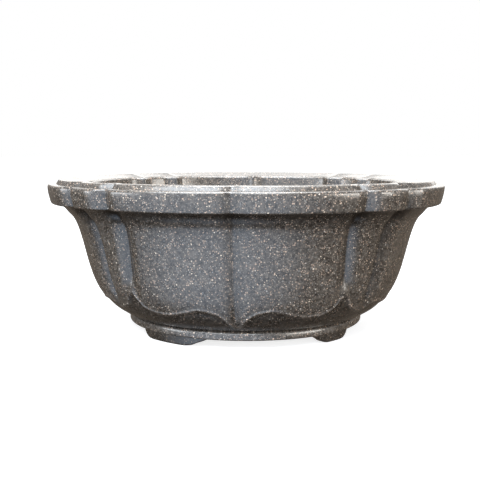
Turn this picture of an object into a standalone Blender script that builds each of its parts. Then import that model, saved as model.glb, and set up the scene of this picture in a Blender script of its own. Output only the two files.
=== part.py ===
"""Lobed oval bonsai pot in speckled stoneware, in metres with +Z up.

The origin is on the table under the middle of the pot, the long axis runs along X and the
front looks along -Y. The pot is one fired body in real life. It is modelled as the members
the potter forms and lutes together: wall, floor slab, rim band, raised lip, foot ring, feet.
"""

import math

import bpy
import numpy as np

MM = 0.001

# Overall sizes, in metres.
LENGTH = 0.300
DEPTH = 0.254
LUTE_GAP = 0.3 * MM

# Plan outline: a superellipse at the rim that eases to a plain ellipse at the foot ring.
DEPTH_SHARE = 0.755
RIM_SQUARENESS = 2.14
FOOT_SQUARENESS = 2.0
FOOT_INSET = 60.0 * MM

# The twelve grooves between the lobes, by plan angle from the +X end in one quadrant.
CORNER_INNER_GROOVE = 55.3
CORNER_OUTER_GROOVE = 38.5
GROOVE_REACH = 13.0 * MM
BAND_GROOVE_DEPTH = 6.0 * MM
WALL_GROOVE_DEPTH = 4.5 * MM
MIDDLE_GROOVE_SHARE = 0.65

# The inner corner grooves lean towards the ends on their way down the wall.
LEAN_TOP = 90.0 * MM
LEAN_BOTTOM = 37.0 * MM
LEAN_TURN = -3.8

WIDE_LOBE_STEPS = (0.0, 0.05, 0.12, 0.27, 0.5, 0.73, 0.88, 0.95)
NARROW_LOBE_STEPS = (0.0, 0.2, 0.5, 0.8)
NARROW_LOBE_LIMIT = 20.0

# Wall: how far the outer face lies inside the rim outline at each height, top to bottom.
WALL_FACE = (
    (96.1, 9.2), (94.8, 11.0), (93.0, 12.9), (90.3, 15.1), (86.5, 18.5), (80.0, 21.6),
    (73.8, 23.6), (64.7, 26.0), (57.5, 27.7), (44.3, 31.4), (35.7, 34.8), (31.5, 37.1),
    (26.0, 40.9), (20.6, 45.9), (18.3, 48.8), (15.9, 52.6), (13.6, 57.0), (12.1, 60.8),
)
WALL_COVE_HEIGHTS = (96.1, 94.8, 93.0, 90.3, 86.5, 80.0, 73.8, 64.7)
PETAL_FRACTIONS = (0.8, 0.58, 0.36, 0.18, 0.06)
WALL_INSIDE = (
    (12.1, 69.5), (19.0, 69.5), (19.4, 62.0), (22.0, 55.0), (26.5, 49.5), (35.0, 43.7),
    (44.0, 39.8), (57.0, 36.0), (76.0, 32.5), (96.1, 31.0),
)

# Petal edge: the relief line where the lobes end above the plain bowl, by plan angle.
PETAL_EDGE = (
    (0.0, 37.0), (3.0, 31.0), (8.0, 26.5), (17.0, 25.2), (24.0, 27.6), (30.0, 29.5),
    (34.0, 29.0), (38.5, 24.2), (42.0, 25.4), (47.0, 29.4), (51.5, 38.0), (55.3, 28.4),
    (59.0, 25.3), (64.0, 24.4), (72.5, 27.2), (77.7, 29.6), (82.5, 28.0), (86.0, 23.5),
    (90.0, 14.6),
)
PETAL_RELIEF = 1.6 * MM
PETAL_STEP = 1.1 * MM

# Rim band and raised lip: closed sections as (height, inset from the rim outline).
BAND_SECTION = (
    (97.3, 2.9), (101.5, 1.6), (106.2, 0.6), (110.0, 0.0), (110.8, 0.5), (111.0, 1.4),
    (111.0, 28.6), (96.4, 30.7), (96.4, 9.0), (96.8, 4.0),
)
LIP_SECTION = (
    (111.3, 7.6), (113.6, 8.0), (114.4, 8.8), (114.6, 9.6), (114.2, 11.2), (111.9, 26.0),
    (111.3, 27.0),
)

# Foot ring: outer half-round over a flat-sided band, then the floor slab inside it.
RING_HALF_LENGTH = 90.1 * MM
RING_HALF_DEPTH = 83.5 * MM
RING_BOTTOM = 6.1 * MM
RING_TOP = 11.8 * MM
RING_WIDTH = 9.0 * MM
RING_STEPS = 72
SLAB_BOTTOM = RING_TOP + LUTE_GAP
SLAB_TOP = 18.7 * MM
SLAB_INSET = 69.8 * MM
SLAB_EDGE = 0.8 * MM

# Holes through the floor slab.
DRAIN_DIAMETER = 24.0 * MM
DRAIN_SPACING = 70.0 * MM
WIRE_HOLE_DIAMETER = 6.5 * MM
WIRE_HOLE_X = 16.0 * MM
WIRE_HOLE_Y = 38.0 * MM

# Feet: plan angles of the steep end, the flat sole and the tapered end on the ring.
FOOT_SPANS = {
    "foot_front_left": (-141.8, -139.0, -115.3, -104.0),
    "foot_front_right": (-29.8, -32.5, -45.0, -53.0),
    "foot_back_left": (150.2, 147.5, 135.0, 127.0),
    "foot_back_right": (38.2, 41.0, 64.7, 76.0),
}
FOOT_HEIGHT = RING_BOTTOM - LUTE_GAP
FOOT_WIDTH = 8.0 * MM
FOOT_SET_IN = 0.6 * MM
FOOT_END_RISE = 3.9 * MM

# Looks: base colour, roughness and metallic value of each sub-part's material.
LOOKS = {
    "wall_shell": ((0.085, 0.079, 0.074), 0.42, 0.0),
    "floor_slab": ((0.060, 0.056, 0.052), 0.60, 0.0),
    "rim_band": ((0.110, 0.102, 0.094), 0.38, 0.0),
    "inner_lip": ((0.130, 0.121, 0.112), 0.38, 0.0),
    "foot_ring": ((0.105, 0.098, 0.092), 0.42, 0.0),
    "foot": ((0.070, 0.065, 0.060), 0.50, 0.0),
}


def clear_scene():
    for thing in list(bpy.data.objects):
        bpy.data.objects.remove(thing, do_unlink=True)


def make_collection(name):
    collection = bpy.data.collections.new(name)
    bpy.context.scene.collection.children.link(collection)
    return collection


def make_material(name):
    colour, roughness, metallic = LOOKS[name]
    material = bpy.data.materials.new(name)
    material.use_nodes = True
    shader = material.node_tree.nodes["Principled BSDF"]
    shader.inputs["Base Color"].default_value = (*colour, 1.0)
    shader.inputs["Roughness"].default_value = roughness
    shader.inputs["Metallic"].default_value = metallic
    return material


def add_object(name, mesh, collection, material):
    thing = bpy.data.objects.new(name, mesh)
    collection.objects.link(thing)
    mesh.materials.clear()
    mesh.materials.append(material)
    mesh.shade_smooth()
    mesh.set_sharp_from_angle(angle=math.radians(35.0))
    return thing


def groove_angles():
    """The twelve groove angles in order around the pot, in degrees."""
    quadrant = (0.0, CORNER_OUTER_GROOVE, CORNER_INNER_GROOVE)
    mirrored = (90.0, 180.0 - CORNER_INNER_GROOVE, 180.0 - CORNER_OUTER_GROOVE)
    front = quadrant + mirrored
    return [angle + half_turn for half_turn in (0.0, 180.0) for angle in front]


def superellipse_point(angle, half_length, half_depth, squareness):
    power = 2.0 / squareness
    cosine = math.cos(math.radians(angle))
    sine = math.sin(math.radians(angle))
    x = math.copysign(abs(cosine) ** power, cosine) * half_length
    y = math.copysign(abs(sine) ** power, sine) * half_depth
    return x, y


def outline_point(angle, inset):
    """A point on the plan outline drawn in by the inset."""
    share = min(inset / FOOT_INSET, 1.0)
    squareness = RIM_SQUARENESS + (FOOT_SQUARENESS - RIM_SQUARENESS) * share
    half_length = LENGTH / 2 - inset
    half_depth = DEPTH / 2 - inset * DEPTH_SHARE
    return superellipse_point(angle, half_length, half_depth, squareness)


def lobe_columns():
    """Plan angles of the mesh columns, each with how deep it lies in a groove, 0 to 1."""
    grooves = groove_angles() + [360.0]
    columns = []
    for start, end in zip(grooves, grooves[1:]):
        narrow = end - start < NARROW_LOBE_LIMIT
        width = math.dist(outline_point(start, 0.0), outline_point(end, 0.0))
        for step in NARROW_LOBE_STEPS if narrow else WIDE_LOBE_STEPS:
            nearest = start if step < 0.5 else end
            share = (1.0 - min(min(step, 1.0 - step) * width / GROOVE_REACH, 1.0)) ** 2
            if nearest % 90.0 == 0.0:
                share *= MIDDLE_GROOVE_SHARE
            columns.append((start + (end - start) * step, share))
    return columns


def leaned(angle, height):
    """A column's plan angle at a height, where the inner corner grooves lean."""
    folded = abs((angle + 180.0) % 360.0 - 180.0)
    folded = min(folded, 180.0 - folded)
    marks = (0.0, CORNER_OUTER_GROOVE, CORNER_INNER_GROOVE, 90.0)
    weight = float(np.interp(folded, marks, (0.0, 0.0, 1.0, 0.0)))
    lowered = min(max((LEAN_TOP - height) / (LEAN_TOP - LEAN_BOTTOM), 0.0), 1.0)
    direction = 1.0 if angle % 180.0 < 90.0 else -1.0
    return angle + direction * LEAN_TURN * weight * lowered


def lobed_ring(height, inset, depth, columns):
    """One closed row of points at a height, drawn in by the inset and the grooves."""
    ring = []
    for angle, share in columns:
        x, y = outline_point(leaned(angle, height), inset + depth * share)
        ring.append((x, y, height))
    return ring


def loft_closed(name, rings):
    """A closed tube-like body from rows of points, the last row joined to the first."""
    count = len(rings[0])
    points = [point for ring in rings for point in ring]
    faces = []
    for row in range(len(rings)):
        below = row * count
        above = (row + 1) % len(rings) * count
        for column in range(count):
            beside = (column + 1) % count
            faces.append((below + column, below + beside, above + beside, above + column))
    mesh = bpy.data.meshes.new(name)
    mesh.from_pydata(points, [], faces)
    mesh.update()
    return mesh


def section_body(name, section, columns):
    rings = []
    for height, inset in section:
        rings.append(lobed_ring(height * MM, inset * MM, BAND_GROOVE_DEPTH, columns))
    return loft_closed(name, rings)


def wall_inset(height):
    heights = [level for level, _ in WALL_FACE][::-1]
    insets = [inset for _, inset in WALL_FACE][::-1]
    return float(np.interp(height / MM, heights, insets)) * MM


def petal_edge_height(angle):
    """Height of the petal edge at a plan angle, the same in all four quadrants."""
    folded = abs((angle + 180.0) % 360.0 - 180.0)
    folded = min(folded, 180.0 - folded)
    angles = [turn for turn, _ in PETAL_EDGE]
    heights = [height for _, height in PETAL_EDGE]
    return float(np.interp(folded, angles, heights)) * MM


def petal_ring(columns, rule):
    """A row whose height follows the petal edge; rule gives height, inset and groove."""
    ring = []
    for angle, share in columns:
        height, inset, depth = rule(petal_edge_height(leaned(angle, LEAN_BOTTOM)))
        x, y = outline_point(leaned(angle, height), inset + depth * share)
        ring.append((x, y, height))
    return ring


def wall_mesh(columns):
    """The lobed wall: bowl, petal edge and cove outside, a plain bowl inside."""
    foot_level = WALL_FACE[-1][0] * MM
    petal_top = WALL_COVE_HEIGHTS[-1] * MM
    rings = [lobed_ring(foot_level, wall_inset(foot_level), 0.0, columns)]

    def lower_bowl(edge):
        height = foot_level + 0.5 * (edge - PETAL_STEP - foot_level)
        return height, wall_inset(height) + 0.5 * PETAL_RELIEF, 0.0

    def under_edge(edge):
        height = edge - PETAL_STEP
        return height, wall_inset(height) + PETAL_RELIEF, 0.0

    def on_edge(edge):
        return edge, wall_inset(edge), WALL_GROOVE_DEPTH * 0.5

    rings.append(petal_ring(columns, lower_bowl))
    rings.append(petal_ring(columns, under_edge))
    rings.append(petal_ring(columns, on_edge))
    for fraction in reversed(PETAL_FRACTIONS):

        def petal_face(edge, fraction=fraction):
            height = edge + (petal_top - edge) * fraction
            return height, wall_inset(height), WALL_GROOVE_DEPTH

        rings.append(petal_ring(columns, petal_face))
    for height in reversed(WALL_COVE_HEIGHTS):
        rings.append(
            lobed_ring(height * MM, wall_inset(height * MM), WALL_GROOVE_DEPTH, columns)
        )
    for height, inset in reversed(WALL_INSIDE):
        depth = WALL_GROOVE_DEPTH * max(0.0, min((height - 21.5) / 22.5, 1.0))
        rings.append(lobed_ring(height * MM, inset * MM, depth, columns))
    return loft_closed("wall_shell", rings)


def ring_profile_object(collection, material):
    """The foot ring: a rounded band turned with Screw and drawn out to an ellipse."""
    outer = RING_HALF_LENGTH
    inner = outer - RING_WIDTH
    middle = (RING_TOP + RING_BOTTOM) / 2
    profile = [
        (inner, RING_TOP), (outer - 1.7 * MM, RING_TOP), (outer - 0.5 * MM, RING_TOP - 0.8 * MM),
        (outer, middle), (outer - 0.5 * MM, RING_BOTTOM + 0.8 * MM),
        (outer - 1.7 * MM, RING_BOTTOM), (inner, RING_BOTTOM),
    ]
    points = [(radius, 0.0, height) for radius, height in profile]
    edges = [(index, (index + 1) % len(points)) for index in range(len(points))]
    mesh = bpy.data.meshes.new("foot_ring")
    mesh.from_pydata(points, edges, [])
    ring = add_object("foot_ring", mesh, collection, material)
    screw = ring.modifiers.new("Turn", "SCREW")
    screw.axis = "Z"
    screw.angle = math.tau
    screw.steps = RING_STEPS
    screw.render_steps = RING_STEPS
    screw.use_merge_vertices = True
    screw.merge_threshold = 0.00001
    ring.scale = (1.0, RING_HALF_DEPTH / RING_HALF_LENGTH, 1.0)
    return ring


def add_cylinder(name, radius, bottom, top, x, y, segments):
    bpy.ops.mesh.primitive_cylinder_add(
        vertices=segments, radius=radius, depth=top - bottom, location=(x, y, (top + bottom) / 2)
    )
    cylinder = bpy.context.active_object
    cylinder.name = name
    cylinder.data.name = name
    return cylinder


def move_to(thing, collection):
    for holder in list(thing.users_collection):
        holder.objects.unlink(thing)
    collection.objects.link(thing)


def apply_scale(thing, scale):
    for vertex in thing.data.vertices:
        vertex.co.x *= scale[0]
        vertex.co.y *= scale[1]


def floor_slab(collection, cutters, material):
    """An oval slab with softened edges, two drain holes and four wire holes."""
    slab = add_cylinder("floor_slab", 1.0, SLAB_BOTTOM, SLAB_TOP, 0.0, 0.0, 64)
    half_length = LENGTH / 2 - SLAB_INSET
    half_depth = DEPTH / 2 - SLAB_INSET * DEPTH_SHARE
    apply_scale(slab, (half_length, half_depth))
    move_to(slab, collection)
    slab.data.materials.append(material)
    soften = slab.modifiers.new("Soften", "BEVEL")
    soften.width = SLAB_EDGE
    soften.segments = 1
    soften.limit_method = "ANGLE"
    holes = [(DRAIN_DIAMETER, side * DRAIN_SPACING / 2, 0.0) for side in (-1, 1)]
    for side in (-1, 1):
        for end in (-1, 1):
            holes.append((WIRE_HOLE_DIAMETER, side * WIRE_HOLE_X, end * WIRE_HOLE_Y))
    for index, (diameter, x, y) in enumerate(holes):
        segments = 32 if diameter == DRAIN_DIAMETER else 16
        cutter = add_cylinder(
            f"slab_hole_{index}", diameter / 2, SLAB_BOTTOM - 5 * MM, SLAB_TOP + 5 * MM, x, y,
            segments,
        )
        move_to(cutter, cutters)
        cutter.hide_render = True
        cutter.display_type = "WIRE"
        cut = slab.modifiers.new(f"Hole {index}", "BOOLEAN")
        cut.operation = "DIFFERENCE"
        cut.solver = "EXACT"
        cut.object = cutter
    slab.data.shade_smooth()
    slab.data.set_sharp_from_angle(angle=math.radians(35.0))
    return slab


def foot_stations(span):
    """Plan angle and sole height along a foot, from its steep end to its tapered end."""
    steep, sole_start, sole_end, tip = span
    stations = [(steep, FOOT_END_RISE), ((steep + 2 * sole_start) / 3, 1.2 * MM)]
    for share in (0.0, 0.2, 0.4, 0.6, 0.8, 1.0):
        stations.append((sole_start + (sole_end - sole_start) * share, 0.0))
    for share, rise in ((0.25, 0.14), (0.5, 0.45), (0.75, 0.82), (1.0, 1.0)):
        stations.append((sole_end + (tip - sole_end) * share, FOOT_END_RISE * rise))
    return stations


def foot_mesh(name, span):
    """A bracket foot that follows the ring, lofted between sections of unlike height."""
    sections = []
    for angle, sole in foot_stations(span):
        cosine = math.cos(math.radians(angle))
        sine = math.sin(math.radians(angle))
        section = []
        for set_in, height in (
            (FOOT_SET_IN, FOOT_HEIGHT), (FOOT_SET_IN + FOOT_WIDTH, FOOT_HEIGHT),
            (FOOT_SET_IN + FOOT_WIDTH - 0.8 * MM, sole), (FOOT_SET_IN + 1.2 * MM, sole),
            (FOOT_SET_IN + 0.2 * MM, sole + 1.0 * MM),
        ):
            x = (RING_HALF_LENGTH - set_in) * cosine
            y = (RING_HALF_DEPTH - set_in) * sine
            section.append((x, y, height))
        sections.append(section)
    if span[0] > span[3]:
        sections.reverse()
    count = len(sections[0])
    points = [point for section in sections for point in section]
    faces = [tuple(range(count))]
    for row in range(len(sections) - 1):
        for corner in range(count):
            beside = (corner + 1) % count
            faces.append((
                row * count + beside, row * count + corner,
                (row + 1) * count + corner, (row + 1) * count + beside,
            ))
    last = (len(sections) - 1) * count
    faces.append(tuple(last + corner for corner in reversed(range(count))))
    mesh = bpy.data.meshes.new(name)
    mesh.from_pydata(points, [], faces)
    mesh.update()
    return mesh


def build():
    clear_scene()
    pot = make_collection("bonsai_pot")
    cutters = make_collection("cutters")
    columns = lobe_columns()
    materials = {name: make_material(name) for name in LOOKS}
    add_object("wall_shell", wall_mesh(columns), pot, materials["wall_shell"])
    add_object(
        "rim_band", section_body("rim_band", BAND_SECTION, columns), pot, materials["rim_band"]
    )
    add_object(
        "inner_lip", section_body("inner_lip", LIP_SECTION, columns), pot,
        materials["inner_lip"],
    )
    ring_profile_object(pot, materials["foot_ring"])
    floor_slab(pot, cutters, materials["floor_slab"])
    for name, span in FOOT_SPANS.items():
        add_object(name, foot_mesh(name, span), pot, materials["foot"])


build()
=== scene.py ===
"""Looks for the lobed oval bonsai pot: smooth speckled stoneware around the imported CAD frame.

Sizes are in metres, in the CAD frame: +Z up, the long axis on X, the front towards -Y.
Every piece is a finely meshed, softened version of the CAD node that it stands for.
"""

import math

import bpy
import numpy as np
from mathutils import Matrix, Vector


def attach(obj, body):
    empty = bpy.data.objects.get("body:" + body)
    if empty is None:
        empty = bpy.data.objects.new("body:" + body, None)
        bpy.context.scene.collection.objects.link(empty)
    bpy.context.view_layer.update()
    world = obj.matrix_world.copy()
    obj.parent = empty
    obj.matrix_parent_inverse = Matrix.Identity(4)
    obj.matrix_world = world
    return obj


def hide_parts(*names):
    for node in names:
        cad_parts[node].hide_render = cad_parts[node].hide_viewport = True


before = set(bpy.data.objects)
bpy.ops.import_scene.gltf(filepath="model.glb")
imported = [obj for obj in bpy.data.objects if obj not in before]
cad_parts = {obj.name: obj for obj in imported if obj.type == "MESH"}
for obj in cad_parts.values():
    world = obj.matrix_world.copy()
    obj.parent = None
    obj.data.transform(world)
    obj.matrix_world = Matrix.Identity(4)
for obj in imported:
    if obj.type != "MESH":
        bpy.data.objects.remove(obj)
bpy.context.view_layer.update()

MM = 0.001

# Plan outline, as in the CAD: a superellipse at the rim that eases to an ellipse at the foot.
LENGTH = 0.300
DEPTH = 0.254
DEPTH_SHARE = 0.755
RIM_SQUARENESS = 2.14
FOOT_SQUARENESS = 2.0
FOOT_INSET = 60.0 * MM

# Grooves between the twelve lobes, by plan angle from the +X end in one quadrant.
QUADRANT_GROOVES = (0.0, 38.5, 55.3)
MIDDLE_GROOVE_SHARE = 0.65
GROOVE_REACH = 13.0 * MM
GROOVE_SOFTNESS = 0.8 * MM
GROOVE_FADE = (-1.0 * MM, 15.0 * MM)
BAND_GROOVE_DEPTH = 6.0 * MM
WALL_GROOVE_DEPTH = 4.5 * MM
LEAN_TOP = 90.0 * MM
LEAN_BOTTOM = 37.0 * MM
LEAN_TURN = -3.8
COLUMN_SPACING = 1.35 * MM
COLUMN_EVENNESS = 0.4

# Wall profile: (height, inset from the rim outline) in millimetres. Mostly the rounded output of a
# fit to the photo's outline, and PETAL_EDGE was worked out by a program too.
WALL_FACE = (
    (10.6, 63.5), (12.1, 60.8), (13.6, 57.0), (15.9, 52.6), (18.3, 48.8), (20.6, 45.9),
    (26.0, 40.9), (31.5, 37.1), (35.7, 34.8), (44.3, 31.4), (57.5, 27.7), (64.7, 26.0),
    (73.8, 23.6), (80.0, 21.6), (86.5, 18.5), (90.3, 15.1), (93.0, 12.9), (94.8, 11.0),
    (96.1, 9.0), (97.4, 5.8),
)
WALL_INSIDE = (
    (98.4, 30.2), (96.1, 31.0), (76.0, 32.5), (57.0, 36.0), (44.0, 39.8), (35.0, 43.7),
    (26.5, 49.5), (22.0, 55.0), (19.6, 62.0), (18.2, 68.0),
)
INSIDE_GROOVE_FADE = (20.0, 50.0)
WALL_ROWS = 66
BOWL_ROWS = 18
INSIDE_ROWS = 40

# Petal edge: the bead where the lobes end above the plain bowl, as (plan angle in degrees, height in
# millimetres) over one quadrant. BEAD_ROWS are heights of mesh rows from the edge, in millimetres.
PETAL_EDGE = (
    (0.0, 37.0), (3.0, 31.0), (8.0, 26.5), (17.0, 25.2), (24.0, 27.6), (30.0, 29.5),
    (34.0, 29.0), (38.5, 24.2), (42.0, 25.4), (47.0, 29.4), (51.5, 38.0), (55.3, 28.4),
    (59.0, 25.3), (64.0, 24.4), (72.5, 27.2), (77.7, 29.6), (82.5, 28.0), (86.0, 23.5),
    (90.0, 14.6),
)
PETAL_RELIEF = 0.9 * MM
PETAL_STEP = 2.2 * MM
BEAD_HEIGHT = 0.6 * MM
BEAD_WIDTH = 1.4 * MM
BEAD_RISE = 0.5 * MM
BEAD_GROOVE_LOSS = 0.8
STEEPEST_EDGE = 2.2
LEAST_BOWL = 2.0 * MM
RECESS_FADE = 6.0 * MM
BEAD_ROWS = (-3.0, -2.3, -1.8, -1.4, -1.0, -0.7, -0.4, 0.0, 0.4, 0.8, 1.2, 1.7, 2.3, 3.0)

# Rim band and raised lip: closed sections as (height, inset, corner radius) in millimetres.
BAND_SECTION = (
    (97.0, 2.7, 1.3), (101.5, 1.5, 2.0), (106.2, 0.5, 2.0), (111.0, 0.3, 2.6),
    (111.0, 28.8, 1.4), (96.4, 30.9, 1.5), (96.4, 8.0, 1.0),
)
LIP_SECTION = (
    (109.8, 6.2, 0.2), (111.3, 6.9, 0.6), (114.2, 8.5, 1.4), (114.7, 11.5, 1.6),
    (113.4, 17.0, 3.0), (111.5, 26.2, 0.8), (109.8, 27.6, 0.4),
)
SECTION_SPACING = 1.2
CORNER_SHARE = 0.48
CORNER_STEPS = 5

# Foot ring, floor slab and its holes.
RING_HALF_LENGTH = 90.1
RING_HALF_DEPTH = 83.5
RING_SECTION = (
    (11.8, 0.2, 2.0), (6.1, 0.0, 2.0), (6.1, 9.0, 0.8), (11.8, 9.0, 0.8), (12.4, 3.6, 0.8),
)
RING_COLUMNS = 420
SLAB_BOTTOM = 12.1 * MM
SLAB_TOP = 18.8 * MM
SLAB_INSET = 66.5 * MM
SLAB_EDGE = 1.1 * MM
SLAB_EDGE_STEPS = 3
SLAB_EDGE_ANGLE = 50.0
SLAB_SHARP_ANGLE = 12.0
SLAB_SEGMENTS = 240
DRAIN_SEGMENTS = 96
WIRE_SEGMENTS = 40
HOLE_OVERRUN = 10.0 * MM
DRAIN_DIAMETER = 24.0 * MM
DRAIN_X = 35.0 * MM
WIRE_DIAMETER = 6.5 * MM
WIRE_X = 16.0 * MM
WIRE_Y = 38.0 * MM

# Feet: plan angles of the steep end, sole start, sole end and tapered tip on the ring, in degrees.
# The back feet are the front ones turned half a turn.
FOOT_SPANS = {
    "foot_front_left": (-141.8, -139.0, -115.3, -104.0),
    "foot_front_right": (-29.8, -32.5, -45.0, -53.0),
    "foot_back_left": (150.2, 147.5, 135.0, 127.0),
    "foot_back_right": (38.2, 41.0, 64.7, 76.0),
}
FOOT_TOP = 7.4
FOOT_WIDTH = 8.0
FOOT_SET_IN = 0.6
FOOT_DRAFT = 0.5
FOOT_OVERLAP = 0.3
FOOT_ROUNDING = 1.3
FOOT_TOP_ROUNDING = 0.1
FOOT_STATIONS = 60

SPECK_CRISPNESS = 14.0

CAMERA_PLACE = (0.0409, -0.5986, 0.1396)
CAMERA_PITCH = 82.99
CAMERA_YAW = 4.30
CAMERA_LENS = 58.05
CAMERA_SENSOR = 36.0

# Shade of the clay, stored on the mesh: 0.5 is its own colour, less is darker, more is lighter. It
# follows the dark and light parts of the photo, so it is painted light and not a known clay colour:
# painted shade in the bowl, cove, grooves, inside, slab and feet, painted highlight on the bead and
# ring.
PLAIN_SHADE = 0.5
INSIDE_PAINTED_SHADE = 0.42
RING_PAINTED_LIGHT = 0.56
SLAB_PAINTED_SHADE = 0.36
FOOT_PAINTED_SHADE = 0.18
BOWL_PAINTED_SHADE = 0.27
COVE_PAINTED_SHADE = 0.34
GROOVE_PAINTED_SHADE = 0.26
RIM_GROOVE_PAINTED_SHADE = 0.20
BEAD_PAINTED_HIGHLIGHT = 0.34
# Where the painted shade under the petal edge and in the cove fades in.
BOWL_PAINTED_SHADE_FADE = (-2.6 * MM, 0.6 * MM)
COVE_PAINTED_SHADE_FADE = (84.0 * MM, 96.0 * MM)

# Studio lights: name, place, what it points at, (width, height), watts and colour.
LIGHTS = (
    ("overhead", (-0.05, -0.1, 1.3), (0.0, 0.0, 0.1), (0.9, 0.7), 27.0, (0.97, 0.98, 1.0)),
    ("front", (-0.3, -1.1, 1.15), (0.0, 0.0, 0.1), (1.5, 0.7), 27.0, (0.86, 0.93, 1.0)),
    ("left", (-1.35, -0.7, 0.25), (0.0, 0.0, 0.07), (0.7, 0.6), 8.0, (0.92, 0.96, 1.0)),
    ("right", (1.35, -0.85, 0.25), (0.0, 0.0, 0.07), (1.0, 0.7), 17.0, (1.0, 0.96, 0.90)),
    ("behind", (0.1, 1.9, 0.95), (0.0, 0.0, 0.11), (2.4, 1.5), 20.0, (1.0, 0.99, 0.96)),
)
WORLD_STRENGTH = 0.95
FLOOR_HALF = 8.0
FLOOR_GLOW = 0.8

# A soft cool panel low in front on the left, tuned to the photo's reflections: where it starts to
# show and where it is full, about the cosine of the angle from its middle, and how bright it is.
PANEL_DIRECTION = (-0.29, -0.89, -0.34)
PANEL_COLOUR = (0.62, 0.78, 1.0)
PANEL_STRENGTH = 1.5
PANEL_EDGES = (0.54, 0.90)


# ---------------------------------------------------------------- curves and outlines

def smooth_curve(positions, values, wanted):
    """Monotone cubic interpolation through the points; positions must rise."""
    positions = np.asarray(positions, float)
    values = np.asarray(values, float)
    gaps = np.diff(positions)
    slopes = np.diff(values) / gaps
    tangents = np.zeros(len(values))
    same_way = slopes[:-1] * slopes[1:] > 0
    before = gaps[1:] * 2 + gaps[:-1]
    after = gaps[1:] + gaps[:-1] * 2
    safe_low = np.where(same_way, slopes[:-1], 1.0)
    safe_high = np.where(same_way, slopes[1:], 1.0)
    middle = (before + after) / (before / safe_low + after / safe_high)
    tangents[1:-1] = np.where(same_way, middle, 0.0)
    tangents[0] = slopes[0]
    tangents[-1] = slopes[-1]
    wanted = np.clip(wanted, positions[0], positions[-1])
    index = np.clip(np.searchsorted(positions, wanted) - 1, 0, len(gaps) - 1)
    step = gaps[index]
    share = (wanted - positions[index]) / step
    square = share * share
    cube = square * share
    return (
        (2 * cube - 3 * square + 1) * values[index]
        + (cube - 2 * square + share) * step * tangents[index]
        + (3 * square - 2 * cube) * values[index + 1]
        + (cube - square) * step * tangents[index + 1]
    )


def smooth_step(values, low, high):
    share = np.clip((values - low) / (high - low), 0.0, 1.0)
    return share * share * (3 - 2 * share)


def superellipse(angles, half_length, half_depth, squareness):
    power = 2.0 / squareness
    cosines = np.cos(angles)
    sines = np.sin(angles)
    x = np.sign(cosines) * np.abs(cosines) ** power * half_length
    y = np.sign(sines) * np.abs(sines) ** power * half_depth
    return x, y


def outline(angles, inset):
    """Points on the plan outline drawn in by the inset, which may differ per point."""
    share = np.clip(inset / FOOT_INSET, 0.0, 1.0)
    squareness = RIM_SQUARENESS + (FOOT_SQUARENESS - RIM_SQUARENESS) * share
    return superellipse(
        angles, LENGTH / 2 - inset, DEPTH / 2 - inset * DEPTH_SHARE, squareness
    )


def groove_angles():
    quadrant = list(QUADRANT_GROOVES)
    mirrored = [90.0] + [180.0 - angle for angle in reversed(quadrant[1:])]
    front = quadrant + mirrored
    return np.radians([angle + turn for turn in (0.0, 180.0) for angle in front] + [360.0])


def lobe_columns():
    """Column angles around the pot and how deep each lies in its groove, from 0 to 1."""
    grooves = groove_angles()
    angles = []
    shares = []
    for start, end in zip(grooves, grooves[1:]):
        x, y = outline(np.array([start, end]), np.zeros(2))
        width = math.hypot(x[1] - x[0], y[1] - y[0])
        count = int(width / COLUMN_SPACING)
        even = np.arange(count) / count
        crowded = (1 - np.cos(np.pi * even)) / 2
        steps = COLUMN_EVENNESS * even + (1 - COLUMN_EVENNESS) * crowded
        distance = np.minimum(steps, 1 - steps) * width
        rounded = np.sqrt(distance ** 2 + GROOVE_SOFTNESS ** 2) - GROOVE_SOFTNESS
        share = (1 - np.minimum(rounded / GROOVE_REACH, 1.0)) ** 2
        nearest = np.degrees(np.where(steps < 0.5, start, end))
        on_axis = np.abs(nearest % 90.0 - 45.0) > 44.9
        angles.append(start + (end - start) * steps)
        shares.append(share * np.where(on_axis, MIDDLE_GROOVE_SHARE, 1.0))
    return np.concatenate(angles), np.concatenate(shares)


ANGLES, GROOVE_SHARE = lobe_columns()


def folded(angles):
    """Plan angles in degrees folded into the first quadrant."""
    turned = np.abs((np.degrees(angles) + 180.0) % 360.0 - 180.0)
    return np.minimum(turned, 180.0 - turned)


def leaned(height):
    """The columns' plan angles at a height, where the inner corner grooves lean."""
    marks = (*QUADRANT_GROOVES, 90.0)
    weight = np.interp(folded(ANGLES), marks, (0.0, 0.0, 1.0, 0.0))
    lowered = np.clip((LEAN_TOP - height) / (LEAN_TOP - LEAN_BOTTOM), 0.0, 1.0)
    direction = np.where(np.degrees(ANGLES) % 180.0 < 90.0, 1.0, -1.0)
    return ANGLES + np.radians(direction * LEAN_TURN * weight * lowered)


def rounded_section(corners):
    """A closed section as (height, inset) points with its corners rounded."""
    points = []
    count = len(corners)
    for index in range(count):
        corner = np.array(corners[index][:2])
        radius = corners[index][2]
        ends = []
        for other in (corners[index - 1], corners[(index + 1) % count]):
            away = np.array(other[:2]) - corner
            length = float(np.hypot(*away))
            ends.append(corner + away / length * min(radius, CORNER_SHARE * length))
        if points:
            start = points[-1]
            gap = ends[0] - start
            pieces = int(np.hypot(*gap) / SECTION_SPACING)
            for step in range(1, pieces):
                points.append(start + gap * step / pieces)
        for step in range(CORNER_STEPS + 1):
            share = step / CORNER_STEPS
            points.append(
                ends[0] * (1 - share) ** 2
                + corner * 2 * share * (1 - share)
                + ends[1] * share ** 2
            )
    return points


# ---------------------------------------------------------------- meshes

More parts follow.
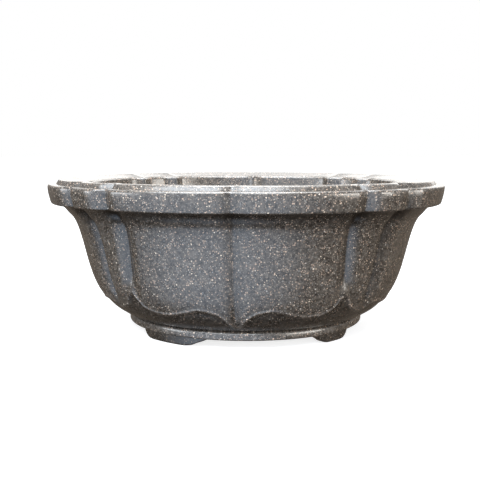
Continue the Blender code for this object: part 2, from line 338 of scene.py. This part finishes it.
def grid_mesh(name, rows, shade):
    """A closed tube from rows of (x, y, z) arrays; shade is one painted shade or light value per
    point.
    """
    count = len(rows[0][0])
    points = np.concatenate([np.stack(row, axis=1) for row in rows])
    total = len(rows)
    columns = np.arange(count)
    beside = (columns + 1) % count
    faces = []
    for row in range(total):
        below = row * count
        above = (row + 1) % total * count
        faces.append(
            np.stack([below + columns, below + beside, above + beside, above + columns], 1)
        )
    mesh = bpy.data.meshes.new(name)
    mesh.from_pydata(points.tolist(), [], np.concatenate(faces).tolist())
    mesh.update()
    add_painted_light(mesh, shade)
    return mesh


def add_painted_light(mesh, shade):
    """Stores the painted shade (below 0.5) or painted light (above 0.5) on the clay at each point.
    """
    layer = mesh.attributes.new("shade", "FLOAT", "POINT")
    layer.data.foreach_set("value", np.asarray(shade, dtype=np.float32))


def place(name, mesh, material):
    """Adds a piece that stands for the CAD node, hides the node and hangs the piece under the root
    body.
    """
    piece = bpy.data.objects.new(name + "_piece", mesh)
    bpy.context.scene.collection.objects.link(piece)
    mesh.materials.append(material)
    mesh.shade_smooth()
    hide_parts(name)
    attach(piece, "root")
    return piece


def section_rows(section, depth):
    rows = []
    for height, inset in rounded_section(section):
        x, y = outline(ANGLES, inset * MM + depth * GROOVE_SHARE)
        rows.append((x, y, np.full(len(ANGLES), height * MM)))
    return rows


def section_piece(name, section, material):
    rows = section_rows(section, BAND_GROOVE_DEPTH)
    # Painted shade in the grooves of the rim band and lip.
    shade = np.tile(PLAIN_SHADE - RIM_GROOVE_PAINTED_SHADE * GROOVE_SHARE, len(rows))
    return place(name, grid_mesh(name, rows, shade), material)


def face_inset(heights):
    levels, insets = zip(*WALL_FACE)
    return smooth_curve(levels, insets, heights / MM) * MM


def petal_edge_heights():
    turns, heights = zip(*PETAL_EDGE)
    return smooth_curve(turns, heights, folded(leaned(LEAN_BOTTOM))) * MM


def circular_blur(values, reach):
    total = values.copy()
    for step in range(1, reach + 1):
        total = total + np.roll(values, step) + np.roll(values, -step)
    return total / (2 * reach + 1)


def wall_piece(material):
    """The lobed wall: plain bowl, petal bead, lobes and cove outside, plain bowl inside."""
    edge = petal_edge_heights()
    x, y = outline(leaned(edge), face_inset(edge))
    ahead = np.roll(np.stack([x, y, edge]), -1, axis=1)
    behind = np.roll(np.stack([x, y, edge]), 1, axis=1)
    run = np.hypot(ahead[0] - behind[0], ahead[1] - behind[1])
    slope = (ahead[2] - behind[2]) / run
    stretch = circular_blur(np.sqrt(1 + np.minimum(np.abs(slope), STEEPEST_EDGE) ** 2), 2)
    foot = WALL_FACE[0][0] * MM
    crown = WALL_FACE[-1][0] * MM
    low_edge = edge + BEAD_ROWS[0] * MM * stretch
    low_edge = np.maximum(low_edge, foot + LEAST_BOWL)
    high_edge = edge + BEAD_ROWS[-1] * MM * stretch
    heights = []
    for step in range(BOWL_ROWS):
        heights.append(foot + (low_edge - foot) * step / BOWL_ROWS)
    for offset in BEAD_ROWS:
        heights.append(np.maximum(edge + offset * MM * stretch, low_edge))
    for step in range(1, WALL_ROWS + 1):
        heights.append(high_edge + (crown - high_edge) * step / WALL_ROWS)
    rows = []
    shades = []
    for height in heights:
        from_edge = (height - edge) / stretch
        recess = PETAL_RELIEF * (1 - smooth_step(from_edge, -PETAL_STEP, 0.2 * MM))
        recess = recess * smooth_step(height, foot, foot + RECESS_FADE)
        bead = BEAD_HEIGHT * np.exp(-((from_edge - BEAD_RISE) / (0.6 * BEAD_WIDTH)) ** 2)
        bead = bead * (1 - BEAD_GROOVE_LOSS * GROOVE_SHARE)
        grooved = smooth_step(height - edge, *GROOVE_FADE)
        depth = WALL_GROOVE_DEPTH * grooved * GROOVE_SHARE
        inset = face_inset(height) + recess - bead + depth
        x, y = outline(leaned(height), inset)
        rows.append((x, y, height))
        # Painted shade under the petal edge, in the cove and in the grooves; painted highlight on
        # the bead.
        below = 1 - smooth_step(from_edge, *BOWL_PAINTED_SHADE_FADE)
        cove = smooth_step(height, *COVE_PAINTED_SHADE_FADE)
        shade = PLAIN_SHADE - BOWL_PAINTED_SHADE * below - COVE_PAINTED_SHADE * cove
        shade = shade - GROOVE_PAINTED_SHADE * GROOVE_SHARE * grooved
        shade = shade + BEAD_PAINTED_HIGHLIGHT * bead / BEAD_HEIGHT
        shades.append(shade)
    levels, insets = zip(*WALL_INSIDE)
    lengths = [math.dist(first, second) for first, second in zip(WALL_INSIDE, WALL_INSIDE[1:])]
    spread = np.cumsum([0.0] + lengths)
    for travelled in np.linspace(0, spread[-1], INSIDE_ROWS):
        height = float(smooth_curve(spread, levels, travelled))
        inset = float(smooth_curve(spread, insets, travelled))
        depth = WALL_GROOVE_DEPTH * float(smooth_step(height, *INSIDE_GROOVE_FADE))
        x, y = outline(leaned(height * MM), inset * MM + depth * GROOVE_SHARE)
        rows.append((x, y, np.full(len(ANGLES), height * MM)))
        # Painted shade inside the pot.
        shades.append(np.full(len(ANGLES), INSIDE_PAINTED_SHADE))
    return place("wall_shell", grid_mesh("wall_shell", rows, np.concatenate(shades)), material)


def ring_piece(material):
    turn = np.arange(RING_COLUMNS) * math.tau / RING_COLUMNS
    rows = []
    for height, set_in in rounded_section(RING_SECTION):
        x = (RING_HALF_LENGTH - set_in) * MM * np.cos(turn)
        y = (RING_HALF_DEPTH - set_in) * MM * np.sin(turn)
        rows.append((x, y, np.full(RING_COLUMNS, height * MM)))
    # Painted light: the foot ring is made lighter than the plain clay.
    shade = np.full(len(rows) * RING_COLUMNS, RING_PAINTED_LIGHT)
    return place("foot_ring", grid_mesh("foot_ring", rows, shade), material)


def foot_section(sole):
    """One cross-section of a foot as (height, set-in), rounded at the sole's edges."""
    top = FOOT_TOP + FOOT_OVERLAP
    inner = FOOT_SET_IN + FOOT_WIDTH
    return rounded_section((
        (sole, FOOT_SET_IN + FOOT_DRAFT, FOOT_ROUNDING), (sole, inner, FOOT_ROUNDING),
        (top, inner, FOOT_TOP_ROUNDING), (top, FOOT_SET_IN, FOOT_TOP_ROUNDING),
    ))


def foot_piece(name, span, material):
    """A bracket foot that follows the ring: steep at one end, an ogee taper at the other."""
    steep, start, end, tip = span
    direction = math.copysign(1.0, tip - steep)
    sole_start = abs(start - steep)
    sole_end = abs(end - steep)
    taper = abs(tip - end)
    # Degrees travelled along the ring, and the height of the sole there in millimetres.
    marks = (
        (0.0, FOOT_TOP), (0.8, 3.6), (sole_start + 1.4, 0.4),
        (sole_start + 4.0, 0.0), (sole_end - 1.0, 0.0),
        (sole_end + taper * 0.3, 0.9), (sole_end + taper * 0.6, 3.0),
        (sole_end + taper * 0.85, 4.6), (abs(tip - steep) + 2.0, FOOT_TOP),
    )
    turns, soles = zip(*marks)
    along = turns[-1] * (0.5 - 0.5 * np.cos(np.linspace(0, math.pi, FOOT_STATIONS)))
    sections = []
    for travelled in along:
        sole = float(smooth_curve(turns, soles, travelled))
        angle = math.radians(steep + direction * travelled)
        ring = []
        for height, set_in in foot_section(min(sole, FOOT_TOP)):
            ring.append((
                (RING_HALF_LENGTH - set_in) * MM * math.cos(angle),
                (RING_HALF_DEPTH - set_in) * MM * math.sin(angle),
                height * MM,
            ))
        sections.append(ring)
    count = min(len(ring) for ring in sections)
    sections = [resample_ring(ring, count) for ring in sections]
    if direction < 0:
        sections.reverse()
    points = [point for ring in sections for point in ring]
    faces = [tuple(reversed(range(count)))]
    for row in range(len(sections) - 1):
        for corner in range(count):
            beside = (corner + 1) % count
            faces.append((
                row * count + corner, row * count + beside,
                (row + 1) * count + beside, (row + 1) * count + corner,
            ))
    last = (len(sections) - 1) * count
    faces.append(tuple(last + corner for corner in range(count)))
    mesh = bpy.data.meshes.new(name)
    mesh.from_pydata(points, [], faces)
    mesh.update()
    # Painted shade on the feet.
    add_painted_light(mesh, np.full(len(points), FOOT_PAINTED_SHADE))
    return place(name, mesh, material)


def resample_ring(ring, count):
    """The same closed ring with a fixed number of evenly spread points."""
    closed = np.array(list(ring) + [ring[0]])
    lengths = np.linalg.norm(np.diff(closed, axis=0), axis=1)
    travelled = np.concatenate([[0.0], np.cumsum(lengths)])
    wanted = np.linspace(0, travelled[-1], count, endpoint=False)
    spread = [np.interp(wanted, travelled, closed[:, axis]) for axis in range(3)]
    return list(zip(*spread))


def add_cylinder(radius, x, y, bottom, top, segments):
    bpy.ops.mesh.primitive_cylinder_add(
        vertices=segments, radius=radius, depth=top - bottom, location=(x, y, (top + bottom) / 2)
    )
    return bpy.context.active_object


def slab_piece(material):
    """The oval floor slab with drain and wire holes and softened edges."""
    slab = add_cylinder(1.0, 0.0, 0.0, SLAB_BOTTOM, SLAB_TOP, SLAB_SEGMENTS)
    half_length = LENGTH / 2 - SLAB_INSET
    half_depth = DEPTH / 2 - SLAB_INSET * DEPTH_SHARE
    for vertex in slab.data.vertices:
        vertex.co.x *= half_length
        vertex.co.y *= half_depth
    holes = [(DRAIN_DIAMETER, side * DRAIN_X, 0.0, DRAIN_SEGMENTS) for side in (-1, 1)]
    for side in (-1, 1):
        for end in (-1, 1):
            holes.append((WIRE_DIAMETER, side * WIRE_X, end * WIRE_Y, WIRE_SEGMENTS))
    cutters = []
    for diameter, x, y, segments in holes:
        bottom = SLAB_BOTTOM - HOLE_OVERRUN
        top = SLAB_TOP + HOLE_OVERRUN
        cutter = add_cylinder(diameter / 2, x, y, bottom, top, segments)
        cutters.append(cutter)
        cut = slab.modifiers.new("Hole", "BOOLEAN")
        cut.operation = "DIFFERENCE"
        cut.solver = "EXACT"
        cut.object = cutter
    soften = slab.modifiers.new("Soften", "BEVEL")
    soften.width = SLAB_EDGE
    soften.segments = SLAB_EDGE_STEPS
    soften.limit_method = "ANGLE"
    soften.angle_limit = math.radians(SLAB_EDGE_ANGLE)
    bpy.context.view_layer.update()
    evaluated = slab.evaluated_get(bpy.context.evaluated_depsgraph_get())
    flat = bpy.data.meshes.new_from_object(evaluated)
    for vertex in flat.vertices:
        vertex.co.z += (SLAB_BOTTOM + SLAB_TOP) / 2
    for spare in cutters + [slab]:
        bpy.data.objects.remove(spare, do_unlink=True)
    # Painted shade on the floor slab.
    add_painted_light(flat, np.full(len(flat.vertices), SLAB_PAINTED_SHADE))
    piece = place("floor_slab", flat, material)
    # The bevel's first bend is steeper than this, so the slab's flat faces shade flat.
    flat.set_sharp_from_angle(angle=math.radians(SLAB_SHARP_ANGLE))
    return piece


# ---------------------------------------------------------------- material

def link(tree, source, target):
    tree.links.new(source, target)


def add_math(tree, operation, first, second=None, clamp=False):
    node = tree.nodes.new("ShaderNodeMath")
    node.operation = operation
    node.use_clamp = clamp
    for socket, value in zip(node.inputs, (first, second)):
        if value is None:
            continue
        if isinstance(value, (int, float)):
            socket.default_value = value
        else:
            link(tree, value, socket)
    return node.outputs[0]


def add_mix(tree, share, first, second):
    node = tree.nodes.new("ShaderNodeMix")
    node.data_type = "RGBA"
    sockets = (node.inputs[0], node.inputs[6], node.inputs[7])
    for socket, value in zip(sockets, (share, first, second)):
        if isinstance(value, (int, float)):
            socket.default_value = value
        elif isinstance(value, tuple):
            socket.default_value = (*value, 1.0)
        else:
            link(tree, value, socket)
    return node.outputs[2]


def add_noise(tree, place_socket, scale, detail=3.0, roughness=0.55):
    node = tree.nodes.new("ShaderNodeTexNoise")
    node.inputs["Scale"].default_value = scale
    node.inputs["Detail"].default_value = detail
    node.inputs["Roughness"].default_value = roughness
    link(tree, place_socket, node.inputs["Vector"])
    return node.outputs["Fac"]


def add_ramp(tree, source, stops):
    node = tree.nodes.new("ShaderNodeValToRGB")
    ramp = node.color_ramp
    while len(ramp.elements) < len(stops):
        ramp.elements.new(0.5)
    for element, (position, colour) in zip(ramp.elements, stops):
        element.position = position
        element.color = (*colour, 1.0)
    link(tree, source, node.inputs[0])
    return node.outputs[0]


def add_warp(tree, place_socket, scale, amount):
    """The same place pushed about by noise, so that round cells become ragged grains."""
    node = tree.nodes.new("ShaderNodeTexNoise")
    node.inputs["Scale"].default_value = scale
    node.inputs["Detail"].default_value = 2.0
    link(tree, place_socket, node.inputs["Vector"])
    push = tree.nodes.new("ShaderNodeVectorMath")
    push.operation = "MULTIPLY_ADD"
    link(tree, node.outputs["Color"], push.inputs[0])
    push.inputs[1].default_value = (amount, amount, amount)
    link(tree, place_socket, push.inputs[2])
    return push.outputs[0]


def add_specks(tree, place_socket, scale, presence, smallest, largest):
    """Grains of random size: where they are, and a random value per grain."""
    cells = tree.nodes.new("ShaderNodeTexVoronoi")
    cells.inputs["Scale"].default_value = scale
    link(tree, place_socket, cells.inputs["Vector"])
    split = tree.nodes.new("ShaderNodeSeparateColor")
    link(tree, cells.outputs["Color"], split.inputs[0])
    radius = add_math(tree, "MULTIPLY", split.outputs[2], largest - smallest)
    radius = add_math(tree, "ADD", radius, smallest)
    inside = add_math(tree, "SUBTRACT", radius, cells.outputs["Distance"])
    inside = add_math(tree, "MULTIPLY", inside, SPECK_CRISPNESS, clamp=True)
    chosen = add_math(tree, "LESS_THAN", split.outputs[0], presence)
    return add_math(tree, "MULTIPLY", inside, chosen), split.outputs[1]


def stoneware(name):
    """Dark speckled stoneware with a soft wax-like gloss, times the painted shade stored on the
    mesh.
    """
    material = bpy.data.materials.new(name)
    material.use_nodes = True
    tree = material.node_tree
    shader = tree.nodes["Principled BSDF"]
    spot = tree.nodes.new("ShaderNodeTexCoord").outputs["Object"]
    shade = tree.nodes.new("ShaderNodeAttribute")
    shade.attribute_name = "shade"
    shade = shade.outputs["Fac"]

    clouds = add_noise(tree, spot, scale=50.0, detail=6.0, roughness=0.7)
    grain = add_noise(tree, spot, scale=420.0, detail=3.0, roughness=0.7)
    body = add_ramp(tree, clouds, (
        (0.34, (0.036, 0.028, 0.022)),
        (0.52, (0.058, 0.048, 0.039)),
        (0.68, (0.086, 0.077, 0.067)),
    ))
    dusty = add_ramp(tree, grain, (
        (0.38, (0.018, 0.014, 0.011)),
        (0.64, (0.190, 0.160, 0.132)),
    ))
    colour = add_mix(tree, 0.45, body, dusty)

    ragged = add_warp(tree, spot, scale=900.0, amount=0.9 * MM)
    fine, fine_pick = add_specks(
        tree, ragged, scale=1000.0, presence=0.60, smallest=0.22, largest=0.46
    )
    fine_colour = add_ramp(tree, fine_pick, (
        (0.0, (0.30, 0.240, 0.180)),
        (0.5, (0.36, 0.320, 0.270)),
        (1.0, (0.24, 0.240, 0.240)),
    ))
    colour = add_mix(tree, add_math(tree, "MULTIPLY", fine, 0.70), colour, fine_colour)
    dark, _ = add_specks(tree, ragged, scale=620.0, presence=0.35, smallest=0.22, largest=0.42)
    colour = add_mix(tree, add_math(tree, "MULTIPLY", dark, 0.8), colour, (0.020, 0.018, 0.017))
    coarse, coarse_pick = add_specks(
        tree, ragged, scale=720.0, presence=0.68, smallest=0.14, largest=0.42
    )
    coarse_colour = add_ramp(tree, coarse_pick, (
        (0.0, (0.27, 0.190, 0.135)),
        (0.40, (0.38, 0.270, 0.200)),
        (0.62, (0.66, 0.475, 0.345)),
        (0.80, (0.44, 0.305, 0.235)),
        (0.94, (0.86, 0.710, 0.540)),
        (1.0, (0.62, 0.560, 0.500)),
    ))
    colour = add_mix(tree, add_math(tree, "MULTIPLY", coarse, 0.9), colour, coarse_colour)

    # The clay colour times the painted shade and painted highlight stored on the mesh.
    painted_shading = tree.nodes.new("ShaderNodeMix")
    painted_shading.data_type = "RGBA"
    painted_shading.blend_type = "MULTIPLY"
    painted_shading.inputs[0].default_value = 1.0
    link(tree, colour, painted_shading.inputs[6])
    level = add_ramp(tree, shade, (
        (0.0, (0.10, 0.09, 0.08)),
        (0.5, (1.0, 1.0, 1.0)),
        (1.0, (1.9, 1.9, 1.95)),
    ))
    link(tree, level, painted_shading.inputs[7])
    link(tree, painted_shading.outputs[2], shader.inputs["Base Color"])

    patchy = add_noise(tree, spot, scale=90.0, detail=3.0)
    rough = add_math(tree, "MULTIPLY", patchy, 0.22)
    rough = add_math(tree, "ADD", rough, 0.16)
    rough = add_math(tree, "ADD", rough, add_math(tree, "MULTIPLY", coarse, 0.08))
    link(tree, rough, shader.inputs["Roughness"])
    shader.inputs["IOR"].default_value = 1.55
    shader.inputs["Specular IOR Level"].default_value = 0.7
    shader.inputs["Coat Weight"].default_value = 0.5
    shader.inputs["Coat Roughness"].default_value = 0.22

    waves = add_noise(tree, spot, scale=130.0, detail=2.0)
    height = add_math(tree, "MULTIPLY", waves, 0.35)
    height = add_math(tree, "ADD", height, add_math(tree, "MULTIPLY", grain, 0.15))
    height = add_math(tree, "ADD", height, add_math(tree, "MULTIPLY", coarse, 0.04))
    bump = tree.nodes.new("ShaderNodeBump")
    bump.inputs["Strength"].default_value = 0.5
    bump.inputs["Distance"].default_value = 0.6 * MM
    link(tree, height, bump.inputs["Height"])
    link(tree, bump.outputs[0], shader.inputs["Normal"])
    return material


# ---------------------------------------------------------------- light, floor and camera

def add_area(name, place_at, target, size, power, colour):
    light = bpy.data.lights.new(name, "AREA")
    light.shape = "RECTANGLE"
    light.size = size[0]
    light.size_y = size[1]
    light.energy = power
    light.color = colour
    lamp = bpy.data.objects.new(name, light)
    bpy.context.scene.collection.objects.link(lamp)
    lamp.location = place_at
    aim = np.array(target) - np.array(place_at)
    lamp.rotation_mode = "QUATERNION"
    lamp.rotation_quaternion = Vector(aim).to_track_quat("-Z", "Y")
    return lamp


def build_world():
    """Plain white to the camera; other rays see warm dark below, cool light above and the panel."""
    world = bpy.data.worlds.new("studio")
    bpy.context.scene.world = world
    world.use_nodes = True
    tree = world.node_tree
    background = tree.nodes["Background"]
    place_node = tree.nodes.new("ShaderNodeTexCoord")
    split = tree.nodes.new("ShaderNodeSeparateXYZ")
    link(tree, place_node.outputs["Generated"], split.inputs[0])
    height = add_math(tree, "MULTIPLY", split.outputs["Z"], 0.5)
    height = add_math(tree, "ADD", height, 0.5)
    sky = add_ramp(tree, height, (
        (0.0, (0.08, 0.062, 0.048)),
        (0.40, (0.18, 0.15, 0.122)),
        (0.52, (0.24, 0.215, 0.19)),
        (0.75, (0.44, 0.47, 0.51)),
        (1.0, (0.70, 0.75, 0.80)),
    ))
    facing = tree.nodes.new("ShaderNodeVectorMath")
    facing.operation = "DOT_PRODUCT"
    link(tree, place_node.outputs["Generated"], facing.inputs[0])
    facing.inputs[1].default_value = PANEL_DIRECTION
    panel = add_ramp(tree, facing.outputs["Value"], (
        (PANEL_EDGES[0], (0.0, 0.0, 0.0)),
        (PANEL_EDGES[1], PANEL_COLOUR),
    ))
    glow = tree.nodes.new("ShaderNodeMix")
    glow.data_type = "RGBA"
    glow.blend_type = "ADD"
    glow.inputs[0].default_value = PANEL_STRENGTH
    glow.clamp_factor = False
    link(tree, sky, glow.inputs[6])
    link(tree, panel, glow.inputs[7])
    link(tree, glow.outputs[2], background.inputs["Color"])
    background.inputs["Strength"].default_value = WORLD_STRENGTH
    plain = tree.nodes.new("ShaderNodeBackground")
    plain.inputs["Color"].default_value = (1.0, 1.0, 1.0, 1.0)
    ray = tree.nodes.new("ShaderNodeLightPath")
    choose = tree.nodes.new("ShaderNodeMixShader")
    link(tree, ray.outputs["Is Camera Ray"], choose.inputs[0])
    link(tree, background.outputs[0], choose.inputs[1])
    link(tree, plain.outputs[0], choose.inputs[2])
    link(tree, choose.outputs[0], tree.nodes["World Output"].inputs["Surface"])


def build_floor():
    """White paper that glows a little and is hidden from bounced and reflected rays."""
    material = bpy.data.materials.new("floor_paper")
    material.use_nodes = True
    shader = material.node_tree.nodes["Principled BSDF"]
    shader.inputs["Base Color"].default_value = (0.5, 0.5, 0.5, 1.0)
    shader.inputs["Roughness"].default_value = 0.9
    shader.inputs["Specular IOR Level"].default_value = 0.0
    shader.inputs["Emission Color"].default_value = (1.0, 1.0, 1.0, 1.0)
    shader.inputs["Emission Strength"].default_value = FLOOR_GLOW
    mesh = bpy.data.meshes.new("floor")
    signs = ((-1, -1), (1, -1), (1, 1), (-1, 1))
    corners = [(x * FLOOR_HALF, y * FLOOR_HALF, 0.0) for x, y in signs]
    mesh.from_pydata(corners, [], [(0, 1, 2, 3)])
    floor = bpy.data.objects.new("studio_floor", mesh)
    bpy.context.scene.collection.objects.link(floor)
    mesh.materials.append(material)
    floor.visible_diffuse = False
    floor.visible_glossy = False


def build_camera():
    camera = bpy.data.cameras.new("camera")
    camera.lens = CAMERA_LENS
    camera.sensor_width = CAMERA_SENSOR
    holder = bpy.data.objects.new("camera", camera)
    bpy.context.scene.collection.objects.link(holder)
    holder.location = CAMERA_PLACE
    holder.rotation_euler = (math.radians(CAMERA_PITCH), 0.0, math.radians(CAMERA_YAW))
    bpy.context.scene.camera = holder


def build_pot():
    clay = stoneware("speckled_stoneware")
    wall_piece(clay)
    section_piece("rim_band", BAND_SECTION, clay)
    section_piece("inner_lip", LIP_SECTION, clay)
    ring_piece(clay)
    slab_piece(clay)
    for name, span in FOOT_SPANS.items():
        foot_piece(name, span, clay)


build_pot()
build_floor()
build_world()
for light in LIGHTS:
    add_area(*light)
build_camera()
bpy.context.scene.view_settings.view_transform = "Standard"
